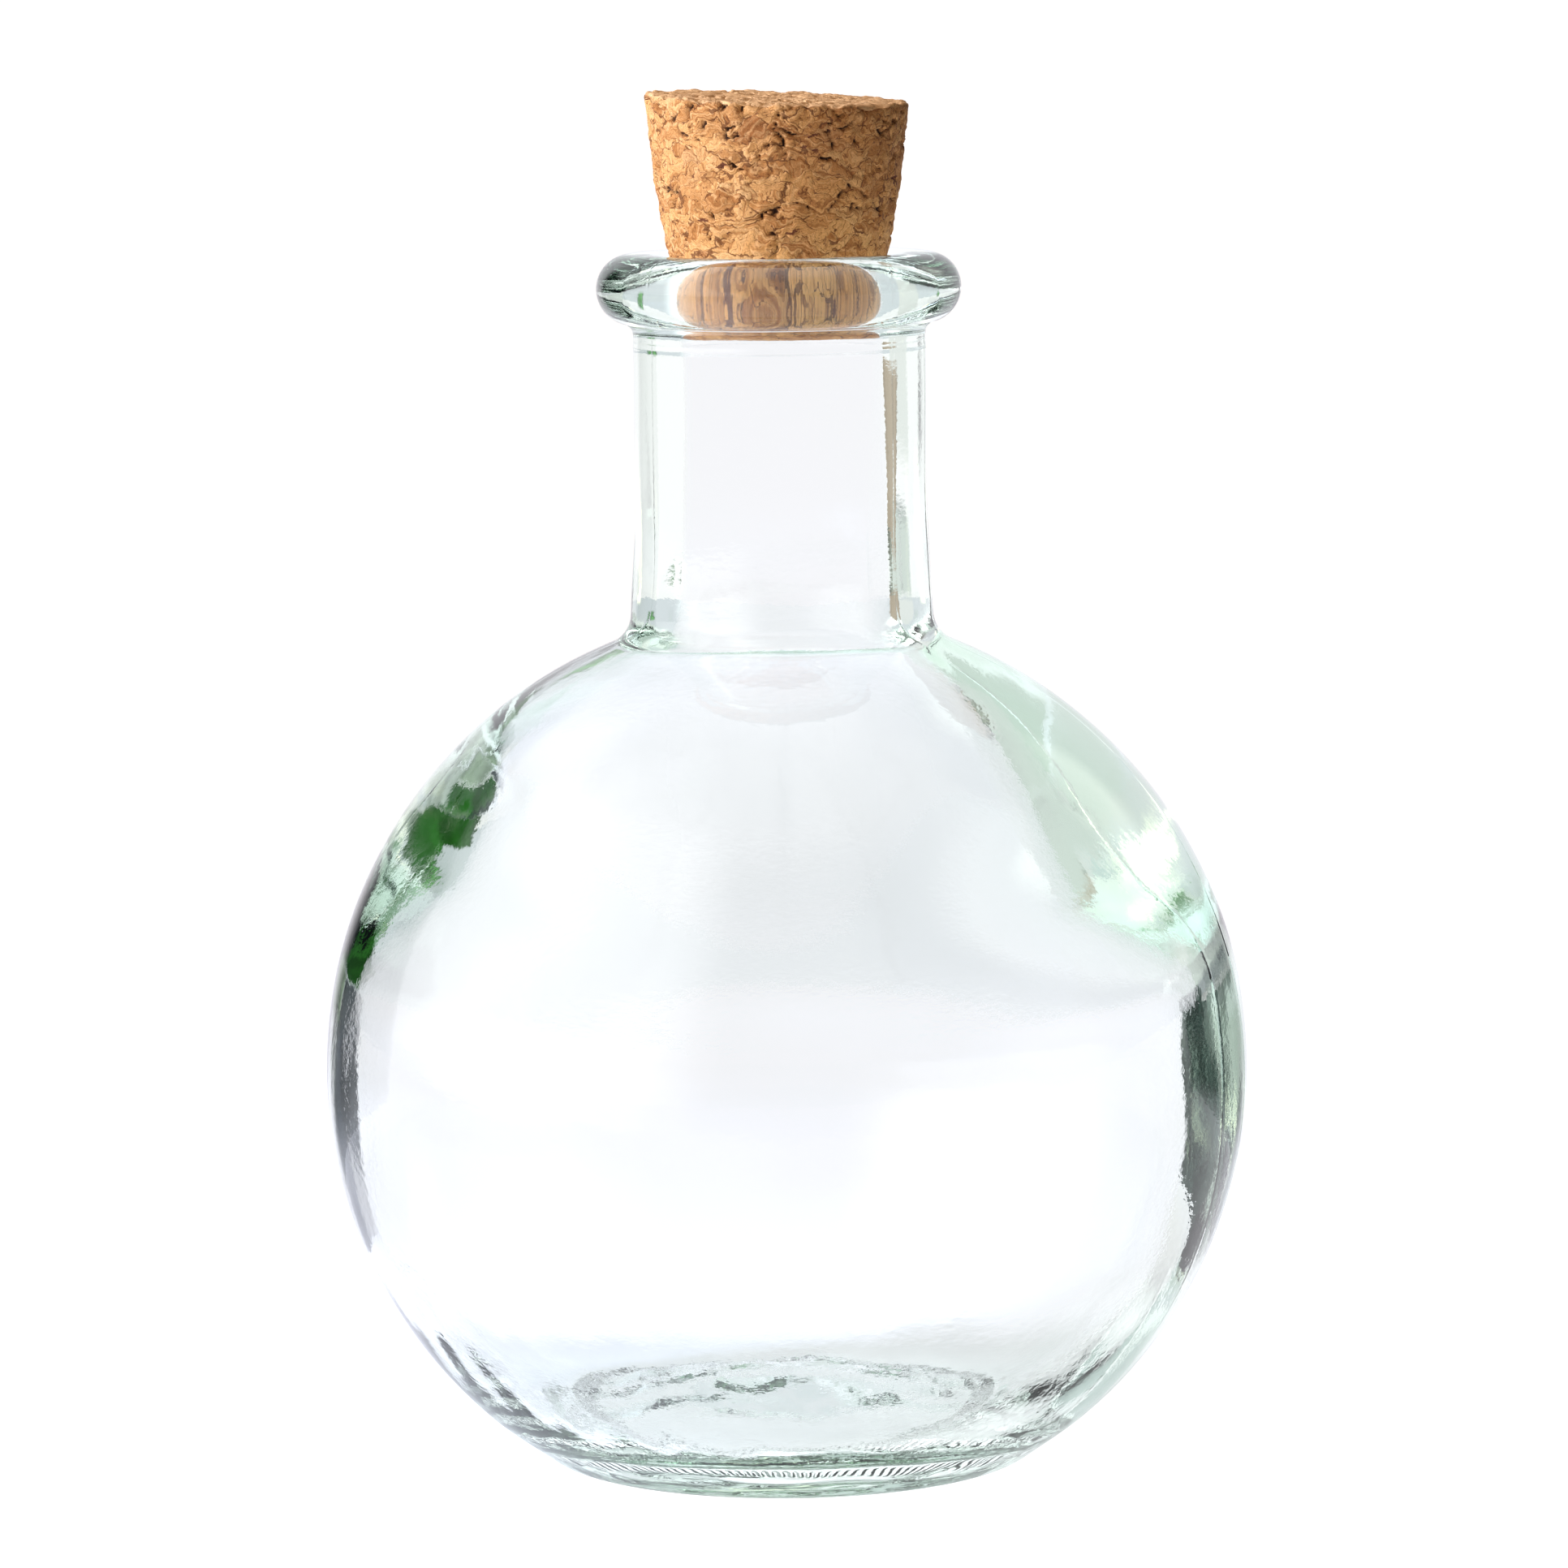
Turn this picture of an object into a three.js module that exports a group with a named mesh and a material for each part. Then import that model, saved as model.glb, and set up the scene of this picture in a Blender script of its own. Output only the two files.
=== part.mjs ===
// A flat-bottomed ball flask of clear glass with a beaded lip, and the tapered cork that closes it.
// Millimetres, +Z up. The origin is the middle of the flask's footprint, where it stands on Z = 0.
import * as THREE from 'three';

// Ball, outside
const BALL_RADIUS = 42.9;        // across the axis
const BALL_HALF_HEIGHT = 42.6;   // along the axis
const BALL_CENTRE_Z = 36.6;

// Base: a flat bearing ring around a shallow push-up, with a rounded heel
const BEARING_INNER_RADIUS = 17.0;
const BEARING_OUTER_RADIUS = 21.2;
const PUSH_UP_HEIGHT = 2.6;
const HEEL_RADIUS = 3.2;         // rounding between the bearing ring and the ball

// Neck
const NECK_RADIUS = 13.5;
const BORE_RADIUS = 9.6;
const FLARE_TOP_Z = 87.0;        // below this the neck widens gently towards the ball
const FLARE_RADIUS = 13.95;
const SHOULDER_FILLET = 3.2;     // between the neck and the ball, outside

// Lip bead
const LIP_RADIUS = 16.87;
const LIP_BOTTOM_Z = 105.7;
const LIP_TOP_Z = 112.2;
const LIP_ROOT_FILLET = 0.8;
const MOUTH_ROUNDING = 2.6;      // where the bore opens onto the top of the lip

// Inside of the ball as [radius, z], from the end of the bore down to the floor: the glass is thick under the
// shoulder, thins to about 3 mm below it, and thickens again round a nearly flat floor.
const BORE_END_Z = 82.0;
const INSIDE_OF_BALL = [
  [10.3, 77.6], [13.5, 74.2], [18.5, 70.8], [23.2, 66.5], [26.5, 61.8], [29.0, 57.4], [32.6, 53.6],
  [36.2, 49.6], [38.6, 44.5], [39.4, 38.0], [39.3, 30.0], [37.9, 22.5], [35.2, 16.5], [31.0, 11.9],
  [26.2, 8.9], [20.5, 7.3], [11.0, 7.0],
];
const FLOOR_HEIGHT = 7.2;        // at the axis
const INSIDE_STEPS = 42;

// Cork
const CORK_BOTTOM_Z = 105.1;
const CORK_TOP_Z = 126.4;
const CORK_BOTTOM_RADIUS = 9.2;
const CORK_SQUEEZED_RADIUS = 9.5;    // where the bore grips it
const CORK_LEAVES_BORE_Z = 109.6;
const CORK_AT_LIP_RADIUS = 10.2;
const CORK_TOP_RADIUS = 12.15;
const CORK_EDGE = 0.4;               // worn edge of both end faces
const CORK_TOP_SLANT = 0.055;        // the top face was cut a little out of square: rise per millimetre towards -X
const CORK_BOTTOM_SLANT = 0.022;     // and the bottom face, the same way

const SEGMENTS = 48;

const point = (radius, z) => new THREE.Vector2(radius, z);

// Points on an ellipse about (centreRadius, centreZ), both ends included. Angles are in radians from +radius.
function arc(centreRadius, centreZ, halfWidth, halfHeight, from, to, steps) {
  const points = [];
  for (let i = 0; i <= steps; i += 1) {
    const angle = from + (to - from) * i / steps;
    points.push(point(centreRadius + halfWidth * Math.cos(angle), centreZ + halfHeight * Math.sin(angle)));
  }
  return points;
}

// The fillet in the corner between the ball and the foot of the neck, and where on the ball it starts.
function shoulderFillet() {
  const squash = BALL_HALF_HEIGHT / BALL_RADIUS;
  const centreRadius = FLARE_RADIUS + SHOULDER_FILLET;
  const rise = squash * Math.sqrt((BALL_RADIUS + SHOULDER_FILLET) ** 2 - centreRadius ** 2);
  return { centreRadius, centreZ: BALL_CENTRE_Z + rise, ballAngle: Math.atan2(rise, squash * centreRadius) };
}

function pushUp(steps) {
  const points = [];
  for (let i = 0; i < steps; i += 1) {
    const along = i / steps;
    points.push(point(BEARING_INNER_RADIUS * along, PUSH_UP_HEIGHT * (1 - along ** 2)));
  }
  return points;
}

function outerSurface() {
  const shoulder = shoulderFillet();
  const heelEnd = Math.asin((BALL_CENTRE_Z - HEEL_RADIUS) / BALL_HALF_HEIGHT);
  const lipHalf = (LIP_TOP_Z - LIP_BOTTOM_Z) / 2;
  return [
    ...pushUp(4),
    point(BEARING_INNER_RADIUS, 0),
    ...arc(BEARING_OUTER_RADIUS, HEEL_RADIUS, HEEL_RADIUS, HEEL_RADIUS, -Math.PI / 2, -Math.PI / 4, 3),
    ...arc(0, BALL_CENTRE_Z, BALL_RADIUS, BALL_HALF_HEIGHT, -heelEnd, shoulder.ballAngle, 22),
    ...arc(shoulder.centreRadius, shoulder.centreZ, SHOULDER_FILLET, SHOULDER_FILLET,
      shoulder.ballAngle - Math.PI, -Math.PI, 4).slice(1),
    point(NECK_RADIUS, FLARE_TOP_Z),
    point(NECK_RADIUS, LIP_BOTTOM_Z - LIP_ROOT_FILLET),
    point(NECK_RADIUS + LIP_ROOT_FILLET, LIP_BOTTOM_Z),
    ...arc(LIP_RADIUS - lipHalf, LIP_BOTTOM_Z + lipHalf, lipHalf, lipHalf, -Math.PI / 2, Math.PI / 2, 8),
  ];
}

function innerSurface() {
  const insideOfBall = new THREE.SplineCurve([
    point(BORE_RADIUS, BORE_END_Z),
    ...INSIDE_OF_BALL.map(([radius, z]) => point(radius, z)),
    point(0, FLOOR_HEIGHT),
  ]).getPoints(INSIDE_STEPS);
  insideOfBall[INSIDE_STEPS].x = 0;
  return [
    ...arc(BORE_RADIUS + MOUTH_ROUNDING, LIP_TOP_Z - MOUTH_ROUNDING, MOUTH_ROUNDING, MOUTH_ROUNDING,
      Math.PI / 2, Math.PI, 4),
    ...insideOfBall,
  ];
}

function corkProfile() {
  return [
    point(0, CORK_BOTTOM_Z),
    point(CORK_BOTTOM_RADIUS - CORK_EDGE, CORK_BOTTOM_Z),
    point(CORK_BOTTOM_RADIUS, CORK_BOTTOM_Z + CORK_EDGE),
    point(CORK_SQUEEZED_RADIUS, CORK_LEAVES_BORE_Z),
    point(CORK_AT_LIP_RADIUS, LIP_TOP_Z),
    point(CORK_TOP_RADIUS, CORK_TOP_Z - CORK_EDGE),
    point(CORK_TOP_RADIUS - CORK_EDGE, CORK_TOP_Z),
    point(0, CORK_TOP_Z),
  ];
}

// A body of revolution about +Z. The profile runs from the axis, out and up the outside, and back to the axis.
function turned(name, profile, material) {
  const geometry = new THREE.LatheGeometry(profile, SEGMENTS);
  geometry.rotateX(Math.PI / 2);
  const mesh = new THREE.Mesh(geometry, material);
  mesh.name = name;
  return mesh;
}

function glassFlask() {
  const glass = new THREE.MeshStandardMaterial({ color: 0xe6efe8, roughness: 0.05, metalness: 0 });
  return turned('glass_flask', [...outerSurface(), ...innerSurface()], glass);
}

// Shears the end faces of the turned cork, with their edges, into the slanted planes that they were cut to.
function slantEndFaces(geometry) {
  const positions = geometry.attributes.position;
  for (let i = 0; i < positions.count; i += 1) {
    const z = positions.getZ(i);
    if (z > CORK_TOP_Z - CORK_EDGE * 1.5) positions.setZ(i, z - CORK_TOP_SLANT * positions.getX(i));
    if (z < CORK_BOTTOM_Z + CORK_EDGE * 1.5) positions.setZ(i, z - CORK_BOTTOM_SLANT * positions.getX(i));
  }
}

function corkStopper() {
  const cork = new THREE.MeshStandardMaterial({ color: 0xc29359, roughness: 0.85, metalness: 0 });
  const stopper = turned('cork_stopper', corkProfile(), cork);
  slantEndFaces(stopper.geometry);
  return stopper;
}

const flaskWithCork = new THREE.Group();
flaskWithCork.add(glassFlask(), corkStopper());

export default flaskWithCork;
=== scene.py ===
"""A ball flask of clear, slightly green glass with a tapered agglomerated cork, on a white studio floor.

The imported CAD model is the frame. Both of its nodes are replaced by finer meshes of the same size: the glass gets
its uneven wall, mould seams, parting line, knurled foot and swirled base, and the cork its granules, pits and chips.
Lengths inside the shape functions are millimetres, and become metres when a mesh is made.
"""
import math

import bpy
import numpy as np
from mathutils import Matrix, Vector, kdtree

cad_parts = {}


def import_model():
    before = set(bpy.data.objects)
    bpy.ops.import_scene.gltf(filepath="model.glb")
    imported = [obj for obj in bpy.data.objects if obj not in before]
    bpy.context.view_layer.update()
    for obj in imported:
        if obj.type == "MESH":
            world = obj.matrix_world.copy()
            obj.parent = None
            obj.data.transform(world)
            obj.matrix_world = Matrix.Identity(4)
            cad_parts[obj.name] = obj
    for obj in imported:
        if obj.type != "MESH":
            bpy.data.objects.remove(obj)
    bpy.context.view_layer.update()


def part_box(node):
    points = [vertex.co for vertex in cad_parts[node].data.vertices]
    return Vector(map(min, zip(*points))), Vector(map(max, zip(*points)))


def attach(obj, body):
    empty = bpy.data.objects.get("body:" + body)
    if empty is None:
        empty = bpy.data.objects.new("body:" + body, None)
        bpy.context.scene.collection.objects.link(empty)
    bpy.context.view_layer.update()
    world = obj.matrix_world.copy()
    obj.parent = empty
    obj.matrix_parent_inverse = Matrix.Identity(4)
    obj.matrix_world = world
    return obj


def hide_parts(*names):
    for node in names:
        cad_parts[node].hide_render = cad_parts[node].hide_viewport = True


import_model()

MM = 0.001
glass_low, glass_high = (np.array(corner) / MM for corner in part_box("glass_flask"))
cork_low, cork_high = (np.array(corner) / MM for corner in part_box("cork_stopper"))

# ---------------------------------------------------------------- glass: driving dimensions
BALL_RADIUS = glass_high[0]
BALL_HALF_HEIGHT = 42.6
BALL_CENTRE_Z = 36.6
BEARING_INNER_RADIUS = 17.0
BEARING_OUTER_RADIUS = 21.0
PUSH_UP_HEIGHT = 2.6
HEEL_RADIUS = 3.2
NECK_RADIUS = 13.5
BORE_RADIUS = 9.6
FLARE_RADIUS = 13.95
FLARE_TOP_Z = 88.0
SHOULDER_FILLET = 3.2
LIP_RADIUS = 16.87
LIP_TOP_Z = glass_high[2]
LIP_BOTTOM_Z = LIP_TOP_Z - 6.5
LIP_ROOT_FILLET = 0.8
MOUTH_ROUNDING = 2.6
PARTING_LINE_Z = LIP_BOTTOM_Z - 2.0
SEAM_AZIMUTHS = (math.radians(-10), math.radians(170))   # the mould's two halves met here
GLASS_AROUND = 250             # steps round the axis, without the finer ones at the seams
SEAM_HALF_WIDTH = 0.28
SEAM_HEIGHT = 0.025
PARTING_LINE_HALF_WIDTH = 0.25
PARTING_LINE_HEIGHT = 0.04

# How uneven the glass is: the height of its waves
BALL_WAVES = 0.045             # inside the ball, long ones
BALL_RIPPLES = 0.014           # and short ones
NECK_WAVES = 0.06
NECK_RIPPLES = 0.02
FLOOR_SWIRL = 0.16
FLOOR_STREAKS = 0.07
SKIN_WAVES = 0.02              # outside
SKIN_RIPPLES = 0.006

# The knurled foot: beads round the bearing ring
KNURL_BEADS = 150
KNURL_HEIGHT = 0.10
KNURL_STARTS = (18.3, 18.9)    # radii between which the beads fade in
KNURL_ENDS = (21.6, 21.0)      # and out

# The inside of the ball from the bore down to the floor, as [radius, z]: on the -X side, in front and behind, and
# on the +X side. The glass is thick under the shoulder and thinner below, with a step in the wall at the sides.
INSIDE_LEFT = [
    [9.6, 84.0], [9.8, 79.5], [11.2, 76.4], [14.5, 74.4], [18.9, 72.2], [23.6, 69.0], [26.4, 65.4],
    [27.6, 61.8], [29.6, 57.8], [33.0, 54.4], [36.6, 50.0], [39.0, 45.4], [40.1, 38.0], [39.9, 30.0],
    [38.6, 22.3], [36.0, 16.7], [33.2, 12.8], [29.9, 9.2], [26.4, 6.3], [22.8, 4.4], [18.5, 3.7],
    [13.0, 4.7], [7.0, 6.3], [0.0, 6.9],
]
INSIDE_MIDDLE = [
    [9.6, 84.0], [9.8, 79.5], [11.0, 76.5], [14.0, 74.2], [18.0, 71.6], [23.0, 67.4], [27.2, 62.6],
    [30.4, 58.0], [33.2, 53.6], [35.6, 49.2], [37.4, 44.6], [38.6, 41.0], [39.2, 36.0], [39.1, 29.0],
    [37.9, 22.3], [35.5, 16.8], [32.8, 12.9], [29.6, 9.4], [26.2, 6.5], [22.8, 4.5], [18.5, 3.7],
    [13.0, 4.7], [7.0, 6.3], [0.0, 6.9],
]
INSIDE_RIGHT = [
    [9.6, 84.0], [9.8, 79.5], [10.9, 76.6], [13.2, 74.0], [16.2, 71.3], [21.0, 66.6], [24.4, 61.8],
    [26.8, 57.8], [29.8, 54.6], [33.2, 51.8], [36.2, 48.2], [37.7, 44.0], [38.1, 37.5], [38.0, 29.8],
    [36.3, 22.3], [34.0, 17.1], [31.5, 13.3], [28.7, 9.9], [25.8, 7.0], [22.6, 4.8], [18.5, 3.8],
    [13.0, 4.7], [7.0, 6.3], [0.0, 6.9],
]


# ---------------------------------------------------------------- shape helpers
def arc(centre_radius, centre_z, half_width, half_height, start, end, steps):
    """Points on an ellipse, both ends included; angles in radians from +radius."""
    angles = np.linspace(start, end, steps + 1)
    return np.column_stack([
        centre_radius + half_width * np.cos(angles),
        centre_z + half_height * np.sin(angles),
    ])


def line(start, end, steps):
    """Points from start up to, but not including, end."""
    return np.linspace(start, end, steps, endpoint=False)


def smooth_curve(points, steps):
    """A Catmull-Rom curve through the points, with the given number of steps between each two."""
    knots = np.array(points, float)
    knots = np.vstack([2 * knots[0] - knots[1], knots, 2 * knots[-1] - knots[-2]])
    curve = []
    for before, start, end, after in zip(knots, knots[1:], knots[2:], knots[3:]):
        for t in np.arange(steps) / steps:
            curve.append(0.5 * (2 * start + (end - before) * t
                                + (2 * before - 5 * start + 4 * end - after) * t ** 2
                                + (3 * start - before - 3 * end + after) * t ** 3))
    curve.append(knots[-2])
    return np.array(curve)


def smooth_step(low, high, value):
    t = np.clip((value - low) / (high - low), 0, 1)
    return t * t * (3 - 2 * t)


def waves(points, wavelength, seed, stretch=(1, 1, 1), count=14):
    """A smooth random field of about unit size: a sum of plane waves with wavelengths near the given one."""
    random = np.random.default_rng(seed)
    directions = random.normal(size=(count, 3))
    directions /= np.linalg.norm(directions, axis=1)[:, None]
    numbers = 2 * math.pi / (wavelength * random.uniform(0.7, 1.5, count))
    phases = random.uniform(0, 2 * math.pi, count)
    angles = (points / np.array(stretch)) @ (directions * numbers[:, None]).T + phases
    return np.cos(angles).sum(axis=-1) * math.sqrt(2 / count)


def turned_mesh(name, rings, material):
    """A closed mesh from rings[j, i]: ring j's point i, in millimetres. The first and last ring shrink to a point."""
    ring_count, around = rings.shape[:2]
    vertices = [rings[0].mean(axis=0), *rings[1:-1].reshape(-1, 3), rings[-1].mean(axis=0)]
    last = len(vertices) - 1

    def corner(ring, i):
        return 1 + (ring - 1) * around + i % around

    faces = [(0, corner(1, i), corner(1, i + 1)) for i in range(around)]
    for ring in range(1, ring_count - 2):
        faces += [(corner(ring, i), corner(ring + 1, i), corner(ring + 1, i + 1), corner(ring, i + 1))
                  for i in range(around)]
    faces += [(corner(ring_count - 2, i), last, corner(ring_count - 2, i + 1)) for i in range(around)]
    mesh = bpy.data.meshes.new(name)
    mesh.from_pydata([tuple(np.array(v) * MM) for v in vertices], [], [tuple(reversed(f)) for f in faces])
    mesh.polygons.foreach_set("use_smooth", [True] * len(mesh.polygons))
    mesh.materials.append(material)
    mesh.update()
    piece = bpy.data.objects.new(name, mesh)
    bpy.context.scene.collection.objects.link(piece)
    return piece


# ---------------------------------------------------------------- node helpers
class Nodes:
    """Adds nodes to a tree; inputs may be plain values or output sockets."""

    def __init__(self, tree):
        self.tree = tree
        tree.nodes.clear()

    def add(self, kind, inputs=None, **settings):
        node = self.tree.nodes.new(kind)
        for key, value in settings.items():
            setattr(node, key, value)
        for key, value in (inputs or {}).items():
            self.put(node.inputs[key], value)
        return node

    def put(self, socket, value):
        if isinstance(value, bpy.types.NodeSocket):
            self.tree.links.new(value, socket)
        else:
            socket.default_value = value

    def math(self, operation, *values, clamp=False):
        node = self.add("ShaderNodeMath", operation=operation, use_clamp=clamp)
        for socket, value in zip(node.inputs, values):
            self.put(socket, value)
        return node.outputs[0]

    def vector(self, operation, *values, scale=None):
        node = self.add("ShaderNodeVectorMath", operation=operation)
        for socket, value in zip(node.inputs, values):
            self.put(socket, value)
        if scale is not None:
            self.put(node.inputs["Scale"], scale)
        return node.outputs["Value" if operation in ("DOT_PRODUCT", "LENGTH") else "Vector"]

    def ramp(self, value, low, high, to_low=0.0, to_high=1.0):
        """A smooth step of value from low to high."""
        node = self.add("ShaderNodeMapRange", interpolation_type="SMOOTHSTEP")
        for socket, number in zip(node.inputs, (value, low, high, to_low, to_high)):
            self.put(socket, number)
        return node.outputs["Result"]

    def mix(self, share, a, b, blend="MIX"):
        """Mixes two colours."""
        node = self.add("ShaderNodeMix", data_type="RGBA", blend_type=blend)
        for socket, value in ((node.inputs[0], share), (node.inputs[6], a), (node.inputs[7], b)):
            self.put(socket, value)
        return node.outputs[2]

    def product(self, first, *others):
        for other in others:
            first = self.math("MULTIPLY", first, other)
        return first

    def millimetres(self):
        """The point in its object's own coordinates, in millimetres."""
        return self.vector("SCALE", self.add("ShaderNodeTexCoord").outputs["Object"], scale=1 / MM)

    def axes(self, place):
        return self.add("ShaderNodeSeparateXYZ", {0: place}).outputs

    def noise(self, place, scale, detail, **more):
        return self.add("ShaderNodeTexNoise", {"Vector": place, "Scale": scale, "Detail": detail, **more}).outputs

    def surface(self, shader, **others):
        self.add("ShaderNodeOutputMaterial", {"Surface": shader.outputs[0], **others})


def material(name):
    made = bpy.data.materials.new(name)
    made.use_nodes = True
    return made, Nodes(made.node_tree)


# ---------------------------------------------------------------- materials
def glass_material():
    """Clear soda-lime glass: a faint green tint in its depth, a fine ripple left by the mould, and a beaded foot."""
    made, n = material("clear_glass")
    place = n.millimetres()
    ripple = n.noise(n.vector("MULTIPLY", place, (1.0, 1.0, 1.6)), 1.1, 2.0)["Fac"]
    x, y, z = n.axes(place)
    radius = n.math("SQRT", n.math("ADD", n.math("MULTIPLY", x, x), n.math("MULTIPLY", y, y)))
    turn = n.math("ARCTAN2", y, x)
    bead = n.math("SINE", n.math("MULTIPLY", turn, float(KNURL_BEADS)))
    on_foot = n.product(n.ramp(radius, *KNURL_STARTS), n.ramp(radius, *KNURL_ENDS), n.ramp(z, 0.7, 0.2))
    height = n.math("ADD", n.math("MULTIPLY", ripple, 0.007), n.product(bead, on_foot, KNURL_HEIGHT))
    bump = n.add("ShaderNodeBump", {"Strength": 1.0, "Distance": MM, "Height": height})
    shader = n.add("ShaderNodeBsdfPrincipled", {
        "Base Color": (1.0, 1.0, 1.0, 1.0), "Roughness": 0.0, "IOR": 1.52, "Transmission Weight": 1.0,
        "Normal": bump.outputs["Normal"],
    })
    depth = n.add("ShaderNodeVolumeAbsorption", {"Color": (0.35, 0.88, 0.50, 1.0), "Density": 5.5})
    n.surface(shader, Volume=depth.outputs[0])
    return made


# Cork colours, linear
REDDISH, TAN = (0.43, 0.19, 0.055, 1), (0.68, 0.37, 0.135, 1)     # a granule's own tone lies between these two
PALE, BROWN = (0.74, 0.46, 0.20, 1), (0.33, 0.135, 0.045, 1)      # a few granules are paler or darker
GROWTH_PALE, GROWTH_DARK = (0.80, 0.50, 0.235, 1), (0.31, 0.125, 0.04, 1)
RING_LINE = (0.21, 0.075, 0.022, 1)
OUTLINE = (0.13, 0.045, 0.016, 1)
SQUIGGLE = (0.17, 0.06, 0.02, 1)                                   # short lines inside a granule
SPECK = (0.105, 0.026, 0.016, 1)
# Painted shade: the pits and open creases between granules are painted near black, for the shade deep in them
PIT_SHADE = (0.035, 0.012, 0.006, 1)
CUT_FACE = (0.98, 0.60, 0.27, 1)                                   # the top face, cut across the granules
FINE_SHADE = (0.76, 0.74, 0.72, 1)                                 # multiplies the darker half of a fine grain
WARMTH = (1.0, 0.88, 0.74, 1)                                      # multiplies all but the pits and the cut face


def cork_growth(n, warped, place, own_colour):
    """Growth lines, which run another way in each granule: the noise across them, and the thin line of each ring."""
    grain_way = n.vector("NORMALIZE", n.vector("SUBTRACT", own_colour, (0.5, 0.5, 0.5)))
    along = n.vector("DOT_PRODUCT", warped, n.vector("MULTIPLY", grain_way, (0.55, 0.55, 1.6)))
    bend = n.noise(place, 0.55, 2.0)["Fac"]
    growth_place = n.math("ADD", n.math("MULTIPLY", along, 2.2), n.math("MULTIPLY", bend, 5.5))
    growth = n.add("ShaderNodeTexNoise", {"W": growth_place, "Scale": 1.0, "Detail": 3.0}, noise_dimensions="1D")
    ring = n.math("PINGPONG", n.math("MULTIPLY", growth_place, 1.35), 0.5)
    return growth.outputs["Fac"], ring


def cork_material():
    """Cork granules pressed together: tan cells with growth lines, thin brown outlines, red-brown specks, and pits
    painted near black as shade.
    """
    made, n = material("agglomerated_cork")
    place = n.millimetres()
    warp = n.noise(place, 0.42, 3.5)["Color"]
    warped = n.vector("ADD", place, n.vector("SCALE", n.vector("SUBTRACT", warp, (0.5, 0.5, 0.5)), scale=3.8))
    flattened = n.vector("MULTIPLY", warped, (0.9, 0.9, 2.0))

    granule = n.add("ShaderNodeTexVoronoi", {"Vector": flattened, "Scale": 0.40}).outputs["Color"]
    outline = n.add("ShaderNodeTexVoronoi", {"Vector": flattened, "Scale": 0.40}, feature="DISTANCE_TO_EDGE")
    outline = outline.outputs["Distance"]
    red, green, blue = n.add("ShaderNodeSeparateColor", {0: granule}).outputs
    tone = n.mix(n.ramp(red, 0.0, 1.0), REDDISH, TAN)
    tone = n.mix(n.ramp(green, 0.72, 0.95, 0.0, 0.7), tone, PALE)
    tone = n.mix(n.ramp(blue, 0.86, 0.98, 0.0, 0.7), tone, BROWN)

    worn = n.noise(place, 0.8, 2.0)["Fac"]       # where lines show more, and where less
    growth, ring = cork_growth(n, warped, place, granule)
    tone = n.mix(n.ramp(growth, 0.40, 0.68, 0.0, 0.55), tone, GROWTH_PALE)
    tone = n.mix(n.ramp(growth, 0.47, 0.32, 0.0, 0.60), tone, GROWTH_DARK)
    ring_shows = n.ramp(worn, 0.38, 0.56, 0.15, 0.80)
    tone = n.mix(n.math("MULTIPLY", n.ramp(ring, 0.085, 0.03), ring_shows), tone, RING_LINE)

    on_outline = n.math("LESS_THAN", outline, n.ramp(worn, 0.46, 0.66, 0.0, 0.05))
    tone = n.mix(n.math("MULTIPLY", on_outline, 0.80), tone, OUTLINE)
    squiggle_place = n.vector("ADD", flattened, (31.0, 7.0, 13.0))
    squiggle = n.add("ShaderNodeTexVoronoi", {"Vector": squiggle_place, "Scale": 0.85}, feature="DISTANCE_TO_EDGE")
    on_squiggle = n.math("LESS_THAN", squiggle.outputs["Distance"], n.ramp(worn, 0.48, 0.34, 0.0, 0.045))
    tone = n.mix(n.math("MULTIPLY", on_squiggle, 0.75), tone, SQUIGGLE)
    speck = n.noise(flattened, 0.55, 4.0, Roughness=0.62)["Fac"]
    tone = n.mix(n.ramp(speck, 0.63, 0.68, 0.0, 0.9), tone, SPECK)

    fine = n.noise(place, 6.0, 2.0)["Fac"]
    tone = n.mix(n.ramp(fine, 0.30, 0.70), n.mix(1.0, tone, FINE_SHADE, "MULTIPLY"), tone)
    tone = n.mix(1.0, tone, WARMTH, "MULTIPLY")
    # painted shade: the pits and open creases, which sink only a little, are painted near black
    pit_shade = n.add("ShaderNodeAttribute", attribute_name="pit_shade").outputs["Fac"]
    tone = n.mix(n.ramp(pit_shade, 0.25, 0.8), tone, PIT_SHADE)
    cut = n.add("ShaderNodeAttribute", attribute_name="cut_face").outputs["Fac"]
    tone = n.mix(n.math("MULTIPLY", cut, 0.60), tone, CUT_FACE)

    height = n.math("ADD", n.math("MULTIPLY", n.ramp(outline, 0.0, 0.12), 0.05),
                    n.math("MULTIPLY", n.math("ADD", growth, fine), 0.05))
    bump = n.add("ShaderNodeBump", {"Strength": 0.8, "Distance": MM, "Height": height})
    shader = n.add("ShaderNodeBsdfPrincipled", {
        "Base Color": tone, "Roughness": 0.82, "IOR": 1.45, "Specular IOR Level": 0.25,
        "Normal": bump.outputs["Normal"],
    })
    n.surface(shader)
    return made


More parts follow.
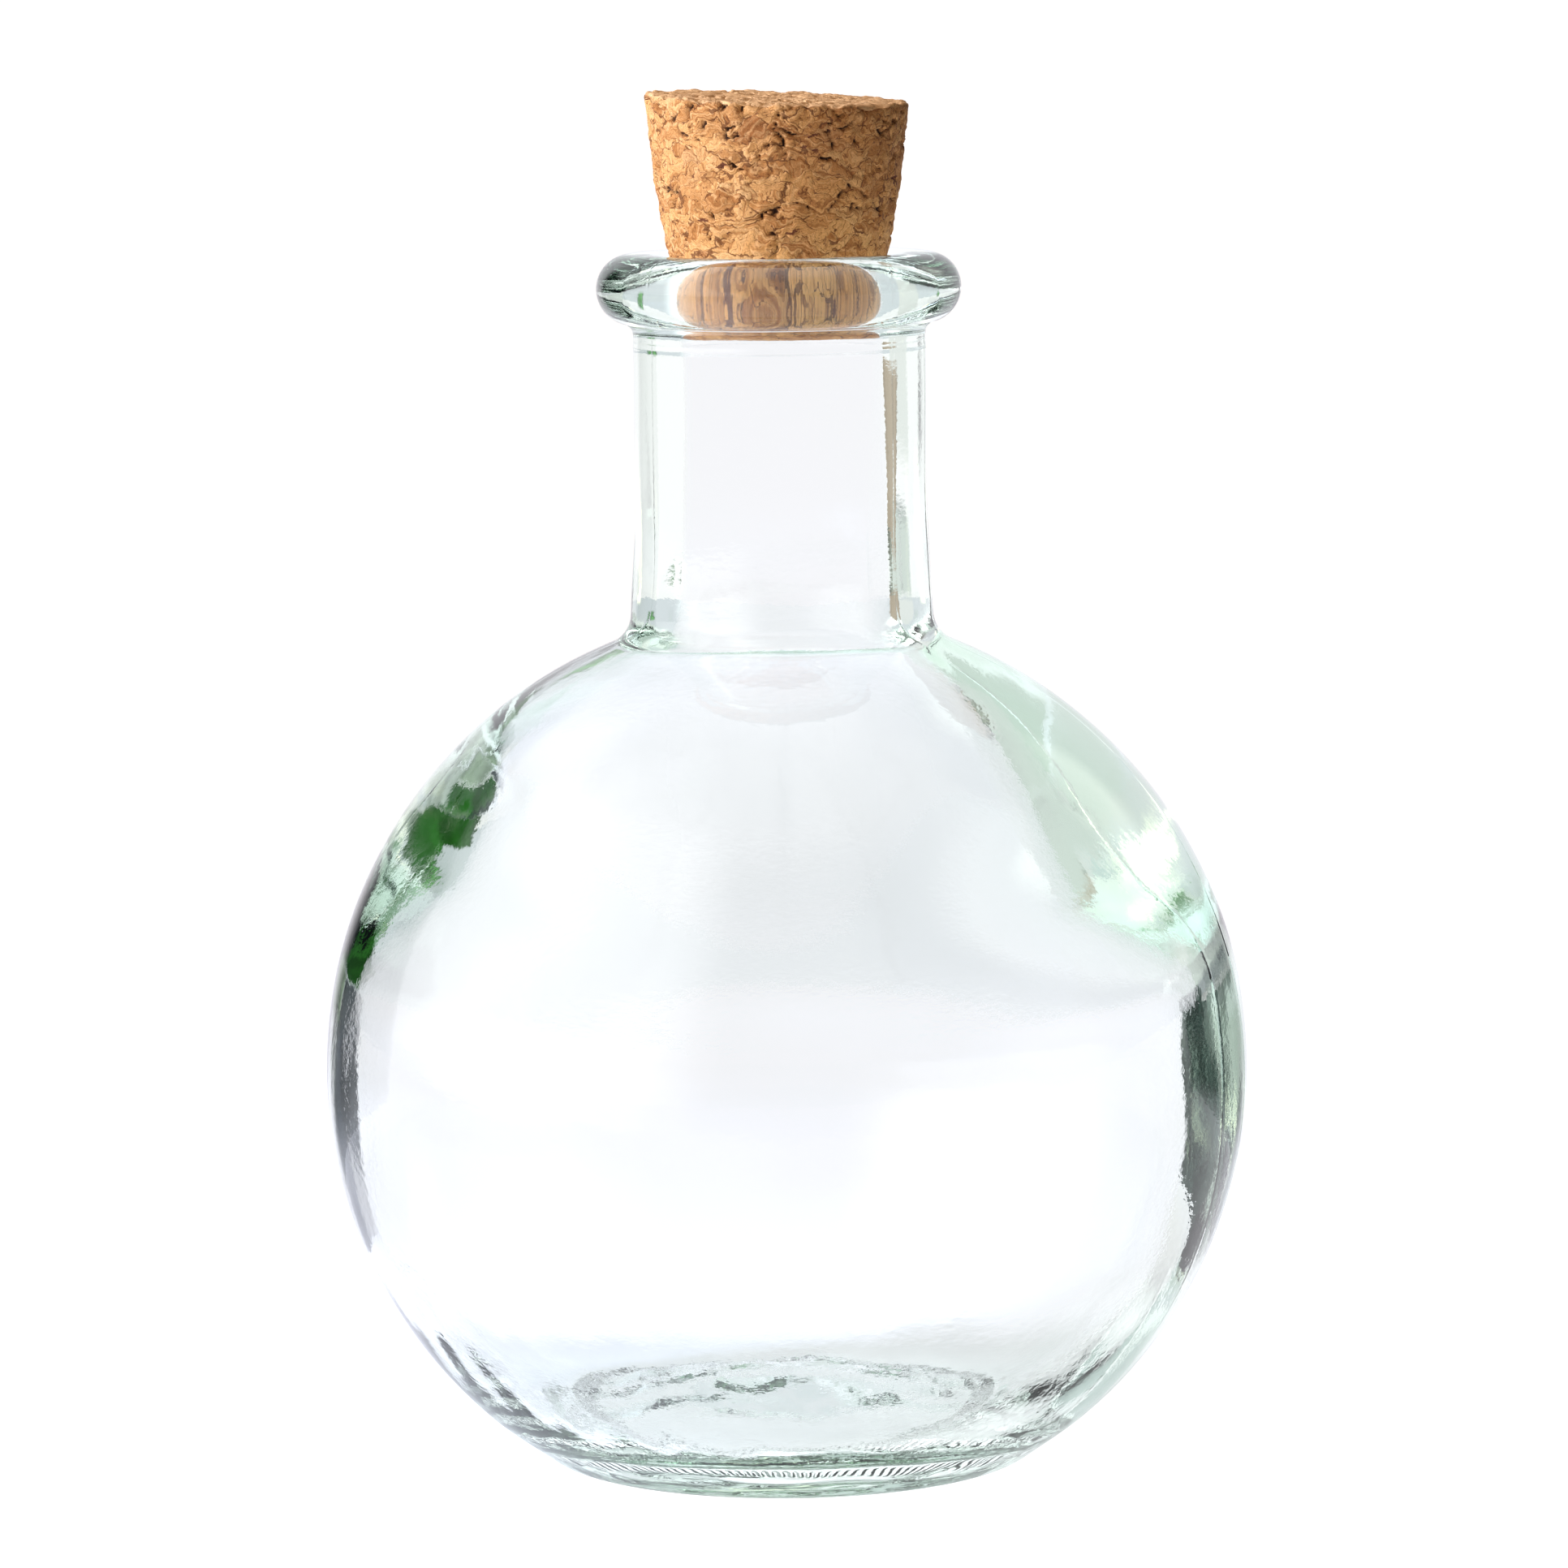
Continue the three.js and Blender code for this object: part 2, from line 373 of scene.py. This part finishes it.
# ---------------------------------------------------------------- glass
def outside_profile():
    """The outside from the middle of the base up to the top of the lip, as [radius, z] rows."""
    squash = BALL_HALF_HEIGHT / BALL_RADIUS
    fillet_radius = FLARE_RADIUS + SHOULDER_FILLET
    rise = squash * math.sqrt((BALL_RADIUS + SHOULDER_FILLET) ** 2 - fillet_radius ** 2)
    ball_end = math.atan2(rise, squash * fillet_radius)
    heel_end = math.asin((BALL_CENTRE_Z - HEEL_RADIUS) / BALL_HALF_HEIGHT)
    lip_half = (LIP_TOP_Z - LIP_BOTTOM_Z) / 2
    inward = np.linspace(0, 1, 18, endpoint=False)
    push_up = np.column_stack([BEARING_INNER_RADIUS * inward, PUSH_UP_HEIGHT * (1 - inward ** 2)])
    fillet = arc(fillet_radius, BALL_CENTRE_Z + rise, SHOULDER_FILLET, SHOULDER_FILLET,
                 ball_end - math.pi, -math.pi, 12)
    neck = np.vstack([
        line((FLARE_RADIUS, fillet[-1, 1] + 0.3), (NECK_RADIUS, FLARE_TOP_Z), 8),
        line((NECK_RADIUS, FLARE_TOP_Z), (NECK_RADIUS, PARTING_LINE_Z - 0.6), 10),
        line((NECK_RADIUS, PARTING_LINE_Z - 0.6), (NECK_RADIUS, PARTING_LINE_Z + 0.6), 10),
        line((NECK_RADIUS, PARTING_LINE_Z + 0.6), (NECK_RADIUS, LIP_BOTTOM_Z - LIP_ROOT_FILLET), 3),
    ])
    return np.vstack([
        push_up,
        line((BEARING_INNER_RADIUS, 0), (BEARING_OUTER_RADIUS, 0), 8),
        arc(BEARING_OUTER_RADIUS, HEEL_RADIUS, HEEL_RADIUS, HEEL_RADIUS, -math.pi / 2, -math.pi / 4, 8),
        arc(0, BALL_CENTRE_Z, BALL_RADIUS, BALL_HALF_HEIGHT, -heel_end, ball_end, 78),
        fillet[1:],
        neck,
        arc(NECK_RADIUS + LIP_ROOT_FILLET, LIP_BOTTOM_Z - LIP_ROOT_FILLET, LIP_ROOT_FILLET, LIP_ROOT_FILLET,
            math.pi, math.pi / 2, 5),
        arc(LIP_RADIUS - lip_half, LIP_BOTTOM_Z + lip_half, lip_half, lip_half, -math.pi / 2, math.pi / 2, 30),
    ])


def mouth_profile():
    """From the top of the lip over the rounded mouth and down the bore."""
    mouth = arc(BORE_RADIUS + MOUTH_ROUNDING, LIP_TOP_Z - MOUTH_ROUNDING, MOUTH_ROUNDING, MOUTH_ROUNDING,
                math.pi / 2, math.pi, 12)
    bore = line(mouth[-1], (BORE_RADIUS, INSIDE_LEFT[0][1]), 20)
    return np.vstack([mouth[:-1], bore])


def softened(profile, rounds):
    """Takes the kinks out of a profile where its arcs meet, and keeps its ends."""
    for _ in range(rounds):
        inner = (profile[:-2] + 2 * profile[1:-1] + profile[2:]) / 4
        profile = np.vstack([profile[:1], inner, profile[-1:]])
    return profile


def glass_azimuths(around):
    """Angles round the axis, closer together at the mould seams."""
    even = np.linspace(0, 2 * math.pi, around, endpoint=False)
    near = np.concatenate([seam + np.radians(np.linspace(-1.6, 1.6, 13)) for seam in SEAM_AZIMUTHS])
    return np.unique(np.round(np.mod(np.concatenate([even, near]), 2 * math.pi), 5))


def glass_waves_inside(rings, z, radius):
    """How far the inside of the glass lies off its turned shape: a wavy wall, and a swirl on the floor."""
    in_ball = smooth_step(80, 70, z)
    in_neck = smooth_step(76, 84, z) * smooth_step(LIP_TOP_Z - 4, LIP_TOP_Z - 9, z)
    low_wall = smooth_step(22, 12, z)
    on_floor = smooth_step(10, 6.5, z) * smooth_step(25, 18, radius)
    smooth_shoulder = 1 - 0.6 * smooth_step(44, 50, z) * smooth_step(76, 70, z)
    long_waves = BALL_WAVES * waves(rings, 15, 3, stretch=(1, 1, 2.5))
    ripples = BALL_RIPPLES * waves(rings, 5, 4, stretch=(1, 1, 5))
    ball = (1 - 0.6 * low_wall) * long_waves + ripples
    neck = (NECK_WAVES * waves(rings, 8, 5, stretch=(1, 1, 9))
            + NECK_RIPPLES * waves(rings, 3.5, 6, stretch=(1, 1, 12)))
    return in_ball * smooth_shoulder * ball + in_neck * neck + glass_swirl(rings) * on_floor


def glass_waves_outside(rings, z, radius, azimuths):
    """How far the outside lies off its turned shape: faint waves, half the swirl under the push-up, the mould seams
    up both sides, and the parting line under the lip."""
    above_foot = smooth_step(0.5, 4, z)
    below_lip = smooth_step(LIP_TOP_Z - 2, LIP_TOP_Z - 4, z)
    under_push_up = smooth_step(BEARING_INNER_RADIUS - 1, BEARING_INNER_RADIUS - 6, radius) * smooth_step(3.4, 3.0, z)
    skin = (SKIN_WAVES * waves(rings, 13, 9)
            + SKIN_RIPPLES * waves(rings, 5, 10, stretch=(1, 1, 3)))
    seam = 0
    for at in SEAM_AZIMUTHS:
        sideways = np.angle(np.exp(1j * (azimuths - at))) * radius
        seam = seam + np.exp(-((sideways / SEAM_HALF_WIDTH) ** 2))
    parting_line = np.exp(-(((z - PARTING_LINE_Z) / PARTING_LINE_HALF_WIDTH) ** 2)) * (radius > NECK_RADIUS - 1)
    return (above_foot * skin + 0.5 * glass_swirl(rings) * under_push_up
            + SEAM_HEIGHT * seam * above_foot * below_lip + PARTING_LINE_HEIGHT * parting_line)


def glass_swirl(rings):
    return FLOOR_SWIRL * waves(rings, 9, 7) + FLOOR_STREAKS * waves(rings, 3.5, 8, stretch=(2.6, 1, 1))


def glass_flask():
    outside = outside_profile()
    mouth = mouth_profile()
    left, middle, right = (
        softened(np.vstack([outside, mouth, smooth_curve(inner, 5)]), 2)[:, None, :]
        for inner in (INSIDE_LEFT, INSIDE_MIDDLE, INSIDE_RIGHT)
    )
    azimuths = glass_azimuths(GLASS_AROUND)
    to_right = (np.maximum(0, np.cos(azimuths)) ** 2)[None, :, None]
    to_left = (np.maximum(0, -np.cos(azimuths)) ** 2)[None, :, None]
    shape = middle + (right - middle) * to_right + (left - middle) * to_left
    radius, z = shape[..., 0], shape[..., 1]
    rings = np.stack([radius * np.cos(azimuths), radius * np.sin(azimuths), z], axis=-1)
    outward = profile_normals(radius, z, azimuths)
    inside = (np.arange(len(shape)) >= len(outside) + 3)[:, None]
    off = np.where(inside, glass_waves_inside(rings, z, radius), glass_waves_outside(rings, z, radius, azimuths))
    rings = rings + outward * off[..., None]
    piece = turned_mesh("flask_glass", rings, glass_material())
    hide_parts("glass_flask")
    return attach(piece, "flask")


def profile_normals(radius, z, azimuths):
    """Unit normals out of the glass, from the profile's direction at each point."""
    along_radius, along_z = np.gradient(radius, axis=0), np.gradient(z, axis=0)
    length = np.hypot(along_radius, along_z) + 1e-9
    out, up = along_z / length, -along_radius / length
    return np.stack([out * np.cos(azimuths), out * np.sin(azimuths), up], axis=-1)


# ---------------------------------------------------------------- cork
CORK_EDGE = 0.35
CORK_TOP_Z = 126.4
CORK_BOTTOM_Z = 105.1
CORK_SIDE = [
    [9.2, 105.1], [9.5, 109.6], [10.25, 112.9], [10.95, 116.7], [11.45, 120.2], [11.8, 123.2], [12.15, 126.4],
]
CORK_AROUND = 330
CORK_TOP_SLANT = (0.048, -0.022)       # how far the top face falls per millimetre towards +X and towards +Y
CORK_BOTTOM_SLANT = 0.022              # and the bottom face towards +X
CORK_CHIPS = 0.32                      # how deep the worn rim of the top face is chipped
CORK_RELIEF_SEED = 21
GRANULES = 2300                        # scattered over a box round the cork, which holds far more than show
GRANULE_BOX = ((-14, -14, 100), (14, 14, 132))
GRANULE_FLATNESS = (1, 1, 1.7)
DEEPEST = 0.6


def cork_profile():
    """From the middle of the bottom face, up the side, to the middle of the top face, as [radius, z] rows."""
    side = smooth_curve(CORK_SIDE, 17)
    side = side[(side[:, 1] > CORK_BOTTOM_Z + CORK_EDGE) & (side[:, 1] < CORK_TOP_Z - CORK_EDGE)]
    bottom_radius, top_radius = side[0, 0], side[-1, 0]
    return np.vstack([
        line((0, CORK_BOTTOM_Z), (bottom_radius - CORK_EDGE, CORK_BOTTOM_Z), 26),
        arc(bottom_radius - CORK_EDGE, CORK_BOTTOM_Z + CORK_EDGE, CORK_EDGE, CORK_EDGE, -math.pi / 2, 0, 4),
        side,
        arc(top_radius - CORK_EDGE, CORK_TOP_Z - CORK_EDGE, CORK_EDGE, CORK_EDGE, 0, math.pi / 2, 4)[1:],
        line((top_radius - CORK_EDGE, CORK_TOP_Z), (0, CORK_TOP_Z), 52)[1:],
        [[0, CORK_TOP_Z]],
    ])


def cork_relief(points):
    """How far the surface sinks at each point, in millimetres, and how much of that is a pit. Creases run between
    neighbouring granules and deepen where three of them meet; only some of them are open."""
    random = np.random.default_rng(CORK_RELIEF_SEED)
    seeds = random.uniform(*GRANULE_BOX, (GRANULES, 3)) * GRANULE_FLATNESS
    tree = kdtree.KDTree(len(seeds))
    for index, seed in enumerate(seeds):
        tree.insert(seed, index)
    tree.balance()
    fate = random.uniform(size=len(seeds))
    bent = points + 0.45 * np.stack([waves(points, 3.2, s) for s in (31, 32, 33)], axis=-1)
    bent = bent * GRANULE_FLATNESS
    sunk, pits = np.zeros(len(points)), np.zeros(len(points))
    for index, place in enumerate(bent):
        (_, first, near), (_, second, next_near), (_, third, far) = tree.find_n(place, 3)
        crease = max(0.0, 1 - (next_near - near) / 0.28)
        corner = max(0.0, 1 - (far - near) / 0.55)
        open_crease = fate[first] + fate[second] < 0.62
        open_corner = fate[first] + fate[second] + fate[third] < 1.15
        pits[index] = min(1.0, corner * open_corner + 0.55 * crease * open_crease)
        sunk[index] = 0.05 * crease + 0.08 * (fate[first] - 0.5) + 0.55 * pits[index]
    return sunk, pits


def cork_stopper():
    profile = cork_profile()
    azimuths = np.linspace(0, 2 * math.pi, CORK_AROUND, endpoint=False)
    radius, z = (np.repeat(profile[:, i:i + 1], CORK_AROUND, axis=1) for i in (0, 1))
    rings = np.stack([radius * np.cos(azimuths), radius * np.sin(azimuths), z], axis=-1)
    outward = profile_normals(radius, z, azimuths)
    flat = rings.reshape(-1, 3)
    sunk, pits = cork_relief(flat)
    rim = np.exp(-(((radius - 12.0) / 0.7) ** 2)) * smooth_step(CORK_TOP_Z - 1.2, CORK_TOP_Z - 0.2, z)
    chips = np.maximum(0, waves(rings, 2.4, 41)) * rim * CORK_CHIPS
    in_bore = smooth_step(113.5, 112.0, z) * smooth_step(104.8, 105.6, z)
    sunk = sunk.reshape(radius.shape) * (1 - 0.7 * in_bore)
    pits = pits.reshape(radius.shape) * (1 - 0.6 * in_bore)
    bumps = 0.05 * waves(rings, 2.0, 42) + 0.03 * waves(rings, 0.9, 43)
    offset = bumps * (1 - 0.8 * in_bore) - np.minimum(sunk, DEEPEST) - chips
    rings = rings + outward * offset[..., None]
    at_top = smooth_step(CORK_TOP_Z - 4, CORK_TOP_Z, z)
    at_bottom = smooth_step(CORK_BOTTOM_Z + 3, CORK_BOTTOM_Z, z)
    rings[..., 2] -= at_top * (rings[..., :2] @ np.array(CORK_TOP_SLANT))
    rings[..., 2] -= at_bottom * CORK_BOTTOM_SLANT * rings[..., 0]
    piece = turned_mesh("cork", rings, cork_material())
    give_attribute(piece, "pit_shade", pits)
    give_attribute(piece, "cut_face", np.abs(outward[..., 2]) ** 2 * (z > 120))
    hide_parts("cork_stopper")
    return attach(piece, "stopper")


def give_attribute(piece, name, grid):
    """Stores one number per vertex of a turned mesh, from a grid laid out like its rings."""
    values = np.concatenate([[grid[0].mean()], grid[1:-1].ravel(), [grid[-1].mean()]])
    attribute = piece.data.attributes.new(name, "FLOAT", "POINT")
    attribute.data.foreach_set("value", values.astype(np.float32))


# ---------------------------------------------------------------- studio
# Metres here, unless a comment says otherwise.
CAMERA_DISTANCE = 0.678
CAMERA_HEIGHT = 0.144
CAMERA_PITCH = math.radians(6.82)      # looking down
CAMERA_ROLL = math.radians(-0.6)
CAMERA_LENS = 168.9                    # millimetres, on a sensor of 36
FLOOR_SIZE = 80.0
FLOOR_DROP = 0.00005                   # keeps the floor's face apart from the glass that stands on it
CARD_GAP = 0.1                         # millimetres between the floor and a card standing on it
ANY_NUMBER = 99                        # more reflections than a ray may have


def camera():
    data = bpy.data.cameras.new("camera")
    data.lens = CAMERA_LENS
    data.sensor_width = 36.0
    data.clip_end = 100.0
    made = bpy.data.objects.new("camera", data)
    turn = Matrix.Rotation(math.pi / 2 - CAMERA_PITCH, 4, "X") @ Matrix.Rotation(CAMERA_ROLL, 4, "Z")
    made.matrix_world = Matrix.Translation((0, -CAMERA_DISTANCE, CAMERA_HEIGHT)) @ turn
    bpy.context.scene.collection.objects.link(made)
    bpy.context.scene.camera = made


def stage_quad(name, corners, made, hidden_from=()):
    """A single face that belongs to the stage, with its corners in metres."""
    mesh = bpy.data.meshes.new(name)
    mesh.from_pydata(corners, [], [(0, 1, 2, 3)])
    mesh.materials.append(made)
    quad = bpy.data.objects.new(name, mesh)
    for rays in hidden_from:
        setattr(quad, "visible_" + rays, False)
    bpy.context.scene.collection.objects.link(quad)
    return quad


def seen_in_rim(n, most_reflections=ANY_NUMBER):
    """1 for a ray that went through the wall alone, in at one side and out at the other, as in the thick rim that a
    hollow glass shows; 0 for a ray that crossed the hollow inside, or was reflected too often on its way."""
    path = n.add("ShaderNodeLightPath").outputs
    return n.product(n.math("GREATER_THAN", path["Transmission Depth"], 0.5),
                     n.math("LESS_THAN", path["Transmission Depth"], 2.5),
                     n.math("LESS_THAN", path["Glossy Depth"], most_reflections + 0.5))


def floor():
    """A white floor that lights itself a little, so that the shadow on it stays faint. Its glow paints shade for the
    rays through the glass: in the rim of the glass it is slightly grey, through the hollow greyer, and greyest close
    to the object, a painted shadow of the flask."""
    made, n = material("white_floor")
    away = n.vector("LENGTH", n.add("ShaderNodeTexCoord").outputs["Object"])
    # Painted shadow: seen through the hollow, the floor glows greyer close to the object, as if the flask shaded it
    painted_shadow_through_hollow = n.mix(n.ramp(away, 0.036, 0.058), (0.47, 0.505, 0.525, 1), (0.755, 0.78, 0.845, 1))
    # Painted shade: seen in the rim of the glass, the floor glows slightly grey
    glow = n.mix(seen_in_rim(n), painted_shadow_through_hollow, (0.84, 0.89, 0.91, 1))
    direct = n.add("ShaderNodeLightPath").outputs["Is Camera Ray"]
    glow = n.mix(direct, glow, (0.88, 0.88, 0.88, 1))
    diffuse = n.add("ShaderNodeBsdfDiffuse", {"Color": (0.30, 0.30, 0.30, 1)})
    light = n.add("ShaderNodeEmission", {"Color": glow, "Strength": 1.0})
    n.surface(n.add("ShaderNodeAddShader", {0: diffuse.outputs[0], 1: light.outputs[0]}))
    half = FLOOR_SIZE / 2
    plane = stage_quad("floor", [(-half, -half, 0), (half, -half, 0), (half, half, 0), (-half, half, 0)], made)
    plane.location.z = -FLOOR_DROP


# Glowing cards standing behind and beside the object, no lamps, which light nothing and show only in the glass: they
# paint the dark edges, green tints, grey bands, shade and highlights that it seems to refract, and the dark
# reflections in its skin, as painted reflections. Columns: distance behind the axis, lowest and highest x, lowest and
# highest z, the softness of their edges, all in millimetres, their radiance, how streaky they are, and what shows
# them: the thick rim of the glass ("rim once" for rays reflected in it no more than once), the hollow middle of it,
# or the gloss on its outer skin.
CARDS = {
    "left_flag": (100, -140, -80, -20, 39, 5, (0.025, 0.030, 0.042), 0.3, "rim once"),
    "right_flag": (100, 62, 168, -20, 72, 5, (0.022, 0.038, 0.032), 0.35, "rim"),
    "green_card": (25, -70, -41, 53, 73.5, 1.2, (0.012, 0.07, 0.008), 0.2, "rim"),
    "green_card_mid": (24.5, -50, -30, 61, 76.3, 0.8, (0.014, 0.08, 0.010), 0.2, "rim"),
    "green_card_high": (100, -60, -38, 102, 124, 4, (0.08, 0.22, 0.07), 0.2, "rim"),
    "grey_green_card": (25, -57, -41, 40, 53, 1.5, (0.24, 0.31, 0.23), 0.2, "rim"),
    "left_flag_near": (25, -76, -57, 38, 53, 1.2, (0.025, 0.032, 0.038), 0.2, "rim"),
    "grey_card": (46, -48, -29, 36, 66, 2, (0.42, 0.47, 0.44), 0.1, "rim"),
    "veil_card": (46, 30, 52, 24, 80, 3, (0.62, 0.70, 0.65), 0.0, "rim"),
    "veil_inner": (46, 52, 106, 58, 80, 3, (0.66, 0.74, 0.69), 0.0, "rim"),
    "veil_near": (0, 38, 72, 60, 79, 1.5, (0.66, 0.74, 0.69), 0.0, "rim"),
    # painted refraction: a green streak seen in the glass
    "painted_green_streak": (46, -10, 6, 51, 63, 1.5, (0.12, 0.32, 0.12), 0.3, "rim"),
    "warm_card": (100, -8, 16, 50, 84, 5, (1.9, 1.95, 1.5), 0.0, "rim"),
    "pale_card": (100, 46, 150, 84, 150, 4, (0.80, 0.84, 0.81), 0.0, "rim"),
    "beige_card": (22, 38, 66, 78.5, 99, 1.0, (0.36, 0.30, 0.22), 0.05, "rim once"),
    "speck_card": (20, 46, 64, 77, 79.5, 0.6, (0.14, 0.15, 0.12), 0.3, "rim once"),
    "shade_behind": (100, -28, 120, 48, 58, 11, (0.76, 0.77, 0.815), 0.0, "middle"),
    "left_skin_flag": (100, -270, -80, 2, 170, 16, (0.02, 0.03, 0.03), 0.0, "skin"),
    "right_skin_flag": (100, 84, 270, 2, 56, 12, (0.05, 0.06, 0.06), 0.0, "skin"),
}


def card_material(name, edges, soft, radiance, streaks, shown_in):
    """A glow inside the card's soft edges, for the rays that may see it, and nothing elsewhere."""
    made, n = material(name)
    place = n.millimetres()
    x, _, z = n.axes(place)
    mask = 1.0 if shown_in == "skin" else seen_in_rim(n, 1 if shown_in == "rim once" else ANY_NUMBER)
    if shown_in == "middle":
        mask = n.math("SUBTRACT", 1.0, mask)
    for value, (low, high) in zip((x, z), edges):
        mask = n.product(mask, n.ramp(value, low - soft, low + soft), n.ramp(value, high + soft, high - soft))
    streak = n.noise(n.vector("MULTIPLY", place, (1.0, 1.0, 0.12)), 0.16, 3.0)["Fac"]
    strength = n.ramp(streak, 0.40, 0.72, 1.0 - 0.6 * streaks, 1.0 + 7.0 * streaks)
    clear = n.add("ShaderNodeBsdfTransparent")
    light = n.add("ShaderNodeEmission", {"Color": (*radiance, 1), "Strength": strength})
    n.surface(n.add("ShaderNodeMixShader", {0: mask, 1: clear.outputs[0], 2: light.outputs[0]}))
    return made


def cards():
    for name, (behind, x_low, x_high, z_low, z_high, soft, radiance, streaks, shown_in) in CARDS.items():
        made = card_material(name, ((x_low, x_high), (z_low, z_high)), soft, radiance, streaks, shown_in)
        left, right, low, high = x_low - soft, x_high + soft, max(z_low - soft, CARD_GAP), z_high + soft
        corners = [(x * MM, behind * MM, z * MM) for x, z in ((left, low), (right, low), (right, high), (left, high))]
        other_rays = "transmission" if shown_in == "skin" else "glossy"
        stage_quad(name, corners, made, ("camera", "diffuse", "shadow", other_rays))


# Soft boxes round the object: azimuth from +Y towards +X and elevation, their half widths and the
# softness of their edges, in degrees, and their radiance.
LIGHTS = [
    (-111, 30, 40, 34, 16, (2.6, 2.6, 2.65)),      # big window on the left
    (100, 28, 20, 24, 14, (1.1, 1.1, 1.1)),        # soft box on the right
    (0, 90, 180, 28, 12, (1.7, 1.7, 1.7)),         # overhead
    (48, 27, 10, 9, 5, (2.2, 2.2, 2.1)),           # small bright box behind on the right
    (0, 18, 84, 38, 8, (0.91, 0.915, 0.955)),      # white wall behind
]
ROOM = (0.62, 0.67, 0.66, 1)
LIGHT_ON_CORK = (0.43, 0.31, 0.245, 1)             # the world's share in the light on dull surfaces
LIGHT_BOUNCED = (0.75, 0.81, 0.81, 1)              # and in the light from behind that was reflected in the glass
BACKDROP = (1.0, 1.0, 1.0, 1)                      # what the camera itself sees
KEY_SIZE, KEY_POWER, KEY_COLOUR = 0.16, 1.95, (1.0, 1.24, 1.85)
KEY_PLACE, KEY_AIM = (-0.36, -0.10, 0.22), (0, 0, 0.118)
CORK_FLAG = [(0.024, -0.046, 0.113), (0.033, 0.05, 0.113), (0.033, 0.05, 0.20), (0.024, -0.046, 0.20)]


def world():
    made = bpy.data.worlds.new("studio")
    bpy.context.scene.world = made
    made.use_nodes = True
    n = Nodes(made.node_tree)
    direction = n.add("ShaderNodeTexCoord").outputs["Generated"]
    x, y, z = n.axes(direction)
    elevation = n.math("ARCSINE", z)

    def patch(azimuth, height, half_azimuth, half_height, soft):
        a = math.radians(azimuth)
        sideways = n.math("SUBTRACT", n.math("MULTIPLY", x, math.cos(a)), n.math("MULTIPLY", y, math.sin(a)))
        forward = n.math("ADD", n.math("MULTIPLY", x, math.sin(a)), n.math("MULTIPLY", y, math.cos(a)))
        off = n.math("ABSOLUTE", n.math("ARCTAN2", sideways, forward))
        above = n.math("ABSOLUTE", n.math("SUBTRACT", elevation, math.radians(height)))
        across = n.ramp(off, math.radians(half_azimuth + soft), math.radians(half_azimuth - soft))
        upright = n.ramp(above, math.radians(half_height + soft), math.radians(half_height - soft))
        return n.math("MULTIPLY", across, upright)

    light = ROOM
    for *where, radiance in reversed(LIGHTS):
        light = n.mix(patch(*where), light, (*radiance, 1))
    path = n.add("ShaderNodeLightPath").outputs
    bounced = n.product(n.math("GREATER_THAN", path["Glossy Depth"], 0.5),
                        n.math("GREATER_THAN", path["Transmission Depth"], 0.5), n.ramp(y, 0.0, 0.3))
    light = n.mix(bounced, light, n.mix(1.0, light, LIGHT_BOUNCED, "MULTIPLY"))
    light = n.mix(path["Is Diffuse Ray"], light, n.mix(1.0, light, LIGHT_ON_CORK, "MULTIPLY"))
    light = n.mix(path["Is Camera Ray"], light, BACKDROP)
    background = n.add("ShaderNodeBackground", {"Color": light, "Strength": 1.0})
    n.add("ShaderNodeOutputWorld", {"Surface": background.outputs[0]})


def cork_light():
    """A soft lamp on the left and a black flag on the right, which shape the light on the cork. Neither shows in the
    glass."""
    lamp = bpy.data.lights.new("key", "AREA")
    lamp.shape, lamp.size, lamp.energy = "DISK", KEY_SIZE, KEY_POWER
    lamp.color = KEY_COLOUR
    key = bpy.data.objects.new("key", lamp)
    key.location = KEY_PLACE
    key.rotation_euler = (Vector(KEY_AIM) - key.location).to_track_quat("-Z", "Y").to_euler()
    key.visible_camera = key.visible_glossy = key.visible_transmission = False
    bpy.context.scene.collection.objects.link(key)
    made, n = material("black_flag")
    n.surface(n.add("ShaderNodeBsdfDiffuse", {"Color": (0.01, 0.01, 0.01, 1)}))
    stage_quad("cork_flag", CORK_FLAG, made, ("camera", "glossy", "transmission"))


def render_look():
    scene = bpy.context.scene
    scene.view_settings.view_transform = "Standard"
    scene.view_settings.look = "None"
    scene.cycles.use_denoising = True
    scene.cycles.max_bounces = 24
    scene.cycles.transmission_bounces = 24
    scene.cycles.glossy_bounces = 12
    scene.cycles.blur_glossy = 0.0


camera()
floor()
cards()
world()
cork_light()
render_look()
glass_flask()
cork_stopper()
